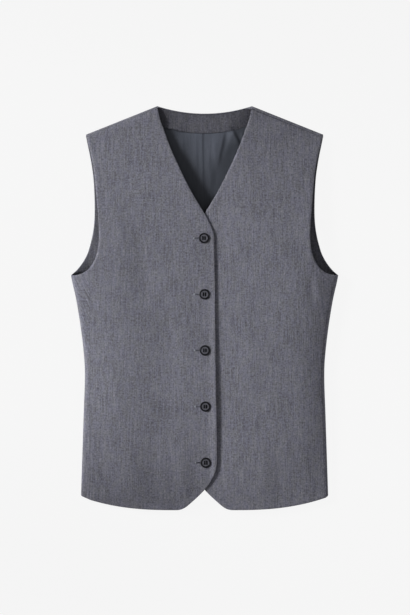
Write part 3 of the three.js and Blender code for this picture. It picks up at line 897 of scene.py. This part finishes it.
def neck_facing_sheet():
    rows, columns = NECK_FACING.size
    end = NECK_FACING.end - NECK_FACING.inset

    def lie(i, j):
        x = mix(-end, end, j / columns)
        y = mix(facing_low(x), facing_top(x), i / rows)
        ease = NECK_FACING.ripple * smooth(facing_top(x) - y, 0.0, NECK_FACING.ease)
        return x, y, crease_rise(FACING_CREASES, x, y) + ripple(x * 2, y * 2, RIPPLE.facing) * ease

    return layer_wall("neck_facing_cloth", (rows, columns), lie)


def armhole_facing_sheet(side, name):
    rows, columns = ARMHOLE_FACING.size
    low, high = ARMHOLE_FACING.foot, SHOULDER_TIP[1]

    def lie(i, j):
        share = i / rows
        across = j / columns if side < 0 else 1 - j / columns
        level = mix(low, high, share)
        x = half_at(BACK_ARMHOLE, level) - mix(ARMHOLE_FACING.rolled, ARMHOLE_FACING.width, across)
        y = level + (shoulder_line(x) - LINE_INSET - high) * share**ARMHOLE_FACING.bend
        past_fold = clamp((x - roll_half(y)) / ROLL)
        fold_lift = edge_height(x, y) / 2 * (1 - math.sqrt(1 - past_fold**2))
        return side * x, y, under_relief(side * x, y) + fold_lift

    return layer_wall(name, (rows, columns), lie)


# ---- Buttons: spun, with four flared sewing holes, and their threads ----


def spun(profile, steps):
    """A closed body of revolution about Z. Its map runs outwards with the radius."""
    maker = bmesh.new()
    verts = [maker.verts.new((radius, 0.0, height)) for radius, height in profile]
    edges = [maker.edges.new(pair) for pair in zip(verts, verts[1:])]
    about = {"cent": (0, 0, 0), "axis": (0, 0, 1), "angle": 2 * math.pi}
    bmesh.ops.spin(maker, geom=verts + edges, steps=steps, use_merge=True, **about)
    bmesh.ops.remove_doubles(maker, verts=maker.verts, dist=1e-6)
    bmesh.ops.recalc_face_normals(maker, faces=maker.faces)
    return maker


def finished_mesh(piece):
    """A mesh copy of a piece with its modifiers or curves made real."""
    graph = bpy.context.evaluated_depsgraph_get()
    return bpy.data.meshes.new_from_object(piece.evaluated_get(graph), depsgraph=graph)


def discard(*pieces):
    for piece in pieces:
        bpy.data.objects.remove(piece)


def hole_spots():
    for x in (-HOLE.across, HOLE.across):
        for y in (-HOLE.along, HOLE.along):
            yield Vector((x, y, 0.0))


def button_mesh():
    body = to_piece("button_body", spun(BUTTON_PROFILE, BUTTON_STEPS))
    drill = spun(HOLE_PROFILE, HOLE.steps)
    drills = bmesh.new()
    for spot in hole_spots():
        mesh = bpy.data.meshes.new("drill")
        drill.to_mesh(mesh)
        mesh.transform(Matrix.Translation(spot))
        drills.from_mesh(mesh)
    drill.free()
    cutter = to_piece("drills", drills)
    cut = body.modifiers.new("sewing_holes", "BOOLEAN")
    cut.operation = "DIFFERENCE"
    cut.solver = "EXACT"
    cut.object = cutter
    mesh = finished_mesh(body)
    discard(body, cutter)
    radial = mesh.uv_layers.new(name="radial")
    for loop in mesh.loops:
        spot = mesh.vertices[loop.vertex_index].co
        radial.data[loop.index].uv = (spot.xy.length / BUTTON_RADIUS, spot.z / DISH_LEVEL)
    for face in mesh.polygons:
        face.use_smooth = True
    mesh.set_sharp_from_angle(angle=math.radians(SHARP_ANGLE))
    return mesh


def thread_mesh(name, runs):
    """Round threads along short runs of points, as one mesh."""
    curve = bpy.data.curves.new(name, "CURVE")
    curve.dimensions = "3D"
    curve.bevel_depth = THREAD_RADIUS
    curve.bevel_resolution = 1
    curve.use_fill_caps = True
    for run in runs:
        spline = curve.splines.new("POLY")
        spline.points.add(len(run) - 1)
        for point, spot in zip(spline.points, run):
            point.co = (*spot, 1.0)
    piece = add_object(name, curve)
    mesh = finished_mesh(piece)
    discard(piece)
    for face in mesh.polygons:
        face.use_smooth = True
    return mesh


def button_threads():
    """Two upright stitches of several strands each, and the shank under the button."""
    runs = []
    for x in (-HOLE.across, HOLE.across):
        for k in range(STITCH.strands):
            strand = k - STITCH.strands // 2
            at = x + strand * STITCH.pitch
            top = DISH_LEVEL + STITCH.rise - abs(strand) * STITCH.fall
            outer, inner = HOLE.along + STITCH.past, HOLE.along + STITCH.slack
            upper = [(at, outer, STITCH.foot), (at, outer, DISH_LEVEL - STITCH.slack), (at, inner, top)]
            lower = [(at, -y, height) for _, y, height in reversed(upper)]
            runs.append(upper + [(at, 0.0, top + STITCH.slack)] + lower)
    for k in range(SHANK.strands):
        angle = 2 * math.pi * k / SHANK.strands
        x, y = SHANK.radius * math.cos(angle), SHANK.radius * math.sin(angle)
        runs.append([(x, y, SHANK.low), (x * SHANK.waist, y * SHANK.waist, 0.0), (x, y, SHANK.high)])
    return thread_mesh("button_thread", runs)


def right_height(x, y):
    """The right front's upper face at a signed x."""
    return front_height(-1, -x, y)


def button_seat(node):
    """The place and tilt of a button on the cloth, from its solid."""
    low, high = (Vector(corner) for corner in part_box(node))
    x, y = (low.x + high.x) / 2, (low.y + high.y) / 2
    fall_x = right_height(x - SEAT_STEP, y) - right_height(x + SEAT_STEP, y)
    fall_y = right_height(x, y - SEAT_STEP) - right_height(x, y + SEAT_STEP)
    up = Vector((fall_x, fall_y, 2 * SEAT_STEP)).normalized()
    turn = Vector((0, 0, 1)).rotation_difference(up).to_matrix().to_4x4()
    base = Vector((x, y, right_height(x, y))) - up * BUTTON_SINK
    return Matrix.Translation(base) @ turn


def thread_run(x, profile):
    """Points along a thread laid on the right front at one x, each given by its y and lift."""
    return [(x, y, right_height(x, y) + lift) for y, lift in profile]


def buttonhole_runs(x, y):
    """Bars of thread along both sides of the slit, not quite even."""
    runs = []
    count = round((BUTTONHOLE.inner - BUTTONHOLE.outer) / BUTTONHOLE.pitch)
    for k in range(count):
        at = x + BUTTONHOLE.outer + k * BUTTONHOLE.pitch
        for way in (-1, 1):
            shift = BUTTONHOLE.uneven * math.sin(k * 2.4 + way)
            runs.append(thread_run(at, [(y + way * (reach + shift), lift) for reach, lift in BAR_PROFILE]))
    return runs


def tack_runs(x, y):
    """The tack across a buttonhole's outer end."""
    profile = [(y + reach, lift) for reach, lift in TACK_PROFILE]
    return [thread_run(x + TACK.start + k * TACK.pitch, profile) for k in range(TACK.strands)]


def slit_piece(name, x, y):
    """The shade in the opening between the two rows of bars, painted as a dark thin strip on the cloth."""
    maker = bmesh.new()
    bmesh.ops.create_grid(maker, x_segments=SLIT.columns, y_segments=2, size=0.5)
    for vert in maker.verts:
        at = x + mix(BUTTONHOLE.outer, BUTTONHOLE.inner, vert.co.x + 0.5)
        level = y + vert.co.y * 2 * BUTTONHOLE.half
        vert.co = (at, level, right_height(at, level) + SLIT.lift)
    lifted = bmesh.ops.extrude_face_region(maker, geom=list(maker.faces), use_keep_orig=True)["geom"]
    for item in lifted:
        if isinstance(item, bmesh.types.BMVert):
            item.co.z += SLIT.wall
    return to_piece(name, maker)


# ---- Looks ----

# Painted shade: ambient occlusion darkens the cloth's colour where other cloth closes in over it.
PAINTED_SHADE = Sizes(reach=0.06, closed=0.94, samples=24)


class Wire:
    """A socket that takes part in sums written as Python expressions."""

    def __init__(self, look, socket):
        self.look = look
        self.socket = socket

    def sum(self, operation, *values):
        return self.look.node("ShaderNodeMath", {"operation": operation}, dict(enumerate(values)))

    def __add__(self, other):
        return self.sum("ADD", self, other)

    def __sub__(self, other):
        return self.sum("SUBTRACT", self, other)

    def __rsub__(self, other):
        return self.sum("SUBTRACT", other, self)

    def __mul__(self, other):
        return self.sum("MULTIPLY", self, other)

    __radd__ = __add__
    __rmul__ = __mul__

    def between(self, low, high):
        """0 at low, 1 at high, and eased between them."""
        limits = {"Value": self, "From Min": low, "From Max": high}
        return self.look.node("ShaderNodeMapRange", {"interpolation_type": "SMOOTHSTEP"}, limits)


class Look:
    """A material, with one way of adding its nodes."""

    def __init__(self, name, **constants):
        self.material = bpy.data.materials.new(name)
        self.material.use_nodes = True
        self.tree = self.material.node_tree
        self.shader = self.tree.nodes["Principled BSDF"]
        for socket, value in constants.items():
            self.shader.inputs[socket.replace("_", " ")].default_value = value

    def node(self, kind, settings, sockets, output=0):
        node = self.tree.nodes.new(kind)
        for name, value in settings.items():
            setattr(node, name, value)
        for socket, value in sockets.items():
            self.feed(node.inputs[socket], value)
        return Wire(self, node.outputs[output])

    def feed(self, socket, value):
        if isinstance(value, Wire):
            self.tree.links.new(value.socket, socket)
        else:
            socket.default_value = (*value, 1.0) if socket.type == "RGBA" else value

    def set(self, socket, value):
        self.feed(self.shader.inputs[socket], value)

    def chart(self, uv_map):
        return self.node("ShaderNodeUVMap", {"uv_map": uv_map}, {})

    def grain(self, place, span, detail=1.0, seed=0.0):
        """Noise whose features are about one span long each way, centred on 0."""
        scale = tuple(1 / length for length in span)
        mapping = {"Vector": place, "Location": (seed, seed, seed), "Scale": scale}
        spread = self.node("ShaderNodeMapping", {}, mapping)
        return self.node("ShaderNodeTexNoise", {}, {"Vector": spread, "Scale": 1.0, "Detail": detail}) - 0.5

    def blend(self, factor, first, second):
        return self.node("ShaderNodeMix", {"data_type": "RGBA"}, {0: factor, 6: first, 7: second}, output=2)

    def tint(self, colour, strength):
        return self.node("ShaderNodeVectorMath", {"operation": "SCALE"}, {0: colour, "Scale": strength})

    def painted_shade(self, deepest_painted_shade):
        """Painted shade from ambient occlusion: 1 in the open, down to the deepest share where other cloth
        closes in over the surface.
        """
        if deepest_painted_shade == 1.0:
            return 1.0
        settings = {"samples": PAINTED_SHADE.samples}
        openness = self.node("ShaderNodeAmbientOcclusion", settings, {"Distance": PAINTED_SHADE.reach}, output="AO")
        return openness.between(PAINTED_SHADE.closed, 1.0) * (1.0 - deepest_painted_shade) + deepest_painted_shade

    def bump(self, height, distance, strength):
        sockets = {"Height": height, "Distance": distance, "Strength": strength}
        self.set("Normal", self.node("ShaderNodeBump", {}, sockets))


def linear(red, green, blue):
    """A colour given in display values of 0 to 255."""

    def channel(value):
        value /= 255
        return value / 12.92 if value <= 0.04045 else ((value + 0.055) / 1.055) ** 2.4

    return (channel(red), channel(green), channel(blue))


def suiting_look(name, cool, neutral, deepest_painted_shade=1.0):
    """Heathered wool suiting in plain weave: upright and level yarn marks and long lines over a slow mottle.
    Its colour is darkened as painted shade where other cloth closes in over it, down to the deepest share far
    under it."""
    look = Look(name, Roughness=0.92, Specular_IOR_Level=0.15, Sheen_Weight=0.08, Sheen_Roughness=0.5)
    cloth = look.chart("cloth")
    upright = look.grain(cloth, (0.0015, 0.0034, 1.0))
    level = look.grain(cloth, (0.0040, 0.0013, 1.0), seed=3.7)
    lines = look.grain(cloth, (0.0013, 0.0260, 1.0), detail=0.0, seed=7.2)
    patches = look.grain(cloth, (0.021, 0.030, 1.0), seed=8.1).between(-0.08, 0.12)
    mottle = look.grain(cloth, (0.012, 0.026, 1.0), detail=3.0, seed=1.9)
    cloud = look.grain(cloth, (0.045, 0.070, 1.0), seed=12.6)
    warp = look.grain(cloth, (0.00042, 0.0045, 1.0), seed=5.3)
    weft = look.grain(cloth, (0.0045, 0.00042, 1.0), seed=6.6)
    flecks = look.grain(cloth, (0.0018, 0.0030, 1.0), detail=0.0, seed=9.4).between(0.19, 0.34)
    marks = upright * (1.7 - patches * 0.4) + level * (0.9 + patches * 0.6) + lines * (1.1 - patches * 0.3)
    tone = 1.0 + marks * 0.7 + mottle * 0.30 + cloud * 0.26 + warp * 0.55 + weft * 0.42 + flecks * 0.2
    hue = look.grain(cloth, (0.006, 0.012, 1.0), detail=2.0, seed=2.2).between(-0.15, 0.15)
    # The colour is darkened by painted shade under other cloth.
    look.set("Base Color", look.tint(look.blend(hue, cool, neutral), tone * look.painted_shade(deepest_painted_shade)))
    look.bump(warp + weft + upright * 0.5, distance=0.00022, strength=0.55)
    return look.material


def satin_look(name):
    """Lining satin: smooth, with faint upright streaks and fine threads, darkened as painted shade where other
    cloth closes in over it.
    """
    look = Look(name, Roughness=0.5, Specular_IOR_Level=0.25)
    cloth = look.chart("cloth")
    streaks = look.grain(cloth, (0.0011, 0.0300, 1.0), detail=2.0)
    slow = look.grain(cloth, (0.010, 0.045, 1.0), seed=4.4)
    threads = look.grain(cloth, (0.00035, 0.0060, 1.0), seed=7.7)
    tone = 1.0 + streaks * 0.35 + slow * 0.35 + threads * 0.3
    # The satin's colour is darkened by painted shade under the fronts.
    look.set("Base Color", look.tint(linear(78, 82, 92), tone * look.painted_shade(0.50)))
    look.bump(threads + streaks * 0.6, distance=0.0001, strength=0.4)
    return look.material


def button_look(name):
    """Polished dark imitation horn, faintly clouded; its dish is painted greyer than the rim as a painted
    reflection of the light above.
    """
    look = Look(name, Roughness=0.45, Specular_IOR_Level=0.15)
    radial = look.chart("radial")
    radius = look.node("ShaderNodeSeparateXYZ", {}, {0: radial})
    place = look.node("ShaderNodeTexCoord", {}, {}, output="Object")
    cloud = look.grain(place, (0.0022, 0.0050, 0.0030), detail=3.0)
    rings = look.grain(place, (0.0004, 0.0004, 0.0004), seed=2.0)
    rim = radius.between(0.63, 0.72)
    # The dish's grey is a painted reflection of the light above the button; the horn itself is the rim's dark.
    dish_painted_reflection = look.tint(linear(80, 80, 87), 1.0 + cloud * 0.8 + rings * 0.25)
    dark = look.tint(linear(18, 18, 22), 1.0 + cloud * 0.8)
    look.set("Base Color", look.blend(rim, dish_painted_reflection, dark))
    look.set("Roughness", 0.42 + rings * 0.25)
    look.bump(rings, distance=0.00003, strength=0.4)
    return look.material


def thread_look(name, colour, spread):
    """Twisted sewing thread."""
    look = Look(name, Roughness=0.75, Specular_IOR_Level=0.12)
    place = look.node("ShaderNodeTexCoord", {}, {}, output="Object")
    twist = look.grain(place, (0.0003, 0.0003, 0.0003))
    look.set("Base Color", look.tint(colour, 1.0 + twist * spread))
    look.bump(twist, distance=0.00004, strength=0.6)
    return look.material


def floor_look(name, base, glow):
    """Pale matt paper that stays even from edge to edge."""
    look = Look(name, Roughness=1.0, Specular_IOR_Level=0.0, Emission_Strength=1.0)
    place = look.node("ShaderNodeTexCoord", {}, {}, output="Object")
    tooth = look.grain(place, (0.003, 0.003, 0.003))
    look.set("Base Color", look.tint((base, base, base), 1.0 + tooth * 0.04))
    look.set("Emission Color", (glow, glow, glow))
    return look.material


# ---- The waistcoat ----


def finish(piece, material, slot, *nodes):
    for look in material if isinstance(material, tuple) else (material,):
        piece.data.materials.append(look)
    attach(piece, "root")
    if nodes:
        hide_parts(*nodes)
    return piece


SUITING = suiting_look("suiting", linear(99, 99, 110), linear(101, 101, 108))
FACING_CLOTH = suiting_look("facing_cloth", linear(86, 86, 95), linear(87, 87, 93))
# The neck facing's colour is darkened as painted shade where the fronts close in over it.
NECK_CLOTH = suiting_look("neck_facing_cloth", linear(82, 82, 91), linear(83, 83, 89), deepest_painted_shade=0.6)
SATIN = satin_look("lining_satin")
HORN = button_look("button_horn")
BUTTON_THREAD = thread_look("button_thread", linear(10, 10, 13), 0.4)
HOLE_THREAD = thread_look("buttonhole_thread", linear(98, 99, 108), 0.5)
TACK_THREAD = thread_look("tack_thread", linear(150, 153, 160), 0.4)
# The buttonhole slits' dark colour is painted shade for their openings.
SLIT_SHADE = thread_look("buttonhole_shade", linear(30, 30, 36), 0.3)

back = finish(back_sheet(), (SUITING, FACING_CLOTH), "shell_cloth", "back")
lining = finish(lining_sheet(), SATIN, "lining_satin", "back_lining")
neck_facing = finish(neck_facing_sheet(), NECK_CLOTH, "shell_cloth", "neck_facing")
front_left = finish(front_sheet(1, "front_left_cloth"), SUITING, "shell_cloth", "front_left")
front_right = finish(front_sheet(-1, "front_right_cloth"), SUITING, "shell_cloth", "front_right")
for side, word in ((-1, "right"), (1, "left")):
    facing = armhole_facing_sheet(side, f"armhole_facing_{word}_cloth")
    finish(facing, FACING_CLOTH, "shell_cloth", f"armhole_facing_{word}")

button_master = button_mesh()
thread_master = button_threads()
for k in range(1, BUTTON_COUNT + 1):
    node = f"button_{k}"
    seat = button_seat(node)
    for label, master, material in (("horn", button_master, HORN), ("thread", thread_master, BUTTON_THREAD)):
        mesh = master.copy()
        mesh.transform(seat)
        piece = add_object(f"{node}_{label}", mesh)
        finish(piece, material, "button", *([node] if label == "horn" else []))
    x, y = seat.translation.xy
    for label, runs, material in (("bars", buttonhole_runs, HOLE_THREAD), ("tack", tack_runs, TACK_THREAD)):
        name = f"buttonhole_{k}_{label}"
        finish(add_object(name, thread_mesh(name, runs(x, y))), material, "shell_cloth")
    finish(slit_piece(f"buttonhole_{k}_slit", x, y), SLIT_SHADE, "shell_cloth")

# ---- Floor and light ----

FLOOR = Sizes(size=30.0, base=0.02, glow=0.903)
KEY = Sizes(power=2.52, elevation=25.5, turn=17.0, spread=18.0, away=1.5, across=0.675, tall=0.72)
SKY = Sizes(fill=0.35, seen=0.90)

paper = bmesh.new()
bmesh.ops.create_grid(paper, x_segments=1, y_segments=1, size=FLOOR.size / 2)
floor = to_piece("floor", paper)
floor.data.materials.append(floor_look("floor_paper", FLOOR.base, FLOOR.glow))

key = add_object("key_light", bpy.data.lights.new("key_light", "AREA"))
key.data.shape = "RECTANGLE"
key.data.energy = KEY.power
key.data.spread = math.radians(KEY.spread)
key.data.size = KEY.across
key.data.size_y = KEY.tall
key.visible_camera = False
elevation, turn = math.radians(KEY.elevation), math.radians(KEY.turn)
level_share = math.cos(elevation)
towards = Vector((-level_share * math.cos(turn), level_share * math.sin(turn), math.sin(elevation)))
key.rotation_mode = "QUATERNION"
key.rotation_quaternion = towards.to_track_quat("Z", "Y")
key.location = towards * KEY.away

world = bpy.data.worlds.new("studio")
world.use_nodes = True
sky = world.node_tree.nodes["Background"]
sky.inputs["Color"].default_value = (1.0, 1.0, 1.0, 1.0)
seen = world.node_tree.nodes.new("ShaderNodeLightPath")
level = world.node_tree.nodes.new("ShaderNodeMapRange")
level.inputs["To Min"].default_value = SKY.fill
level.inputs["To Max"].default_value = SKY.seen
world.node_tree.links.new(seen.outputs["Is Camera Ray"], level.inputs["Value"])
world.node_tree.links.new(level.outputs["Result"], sky.inputs["Strength"])
bpy.context.scene.world = world
bpy.context.scene.view_settings.view_transform = "Standard"
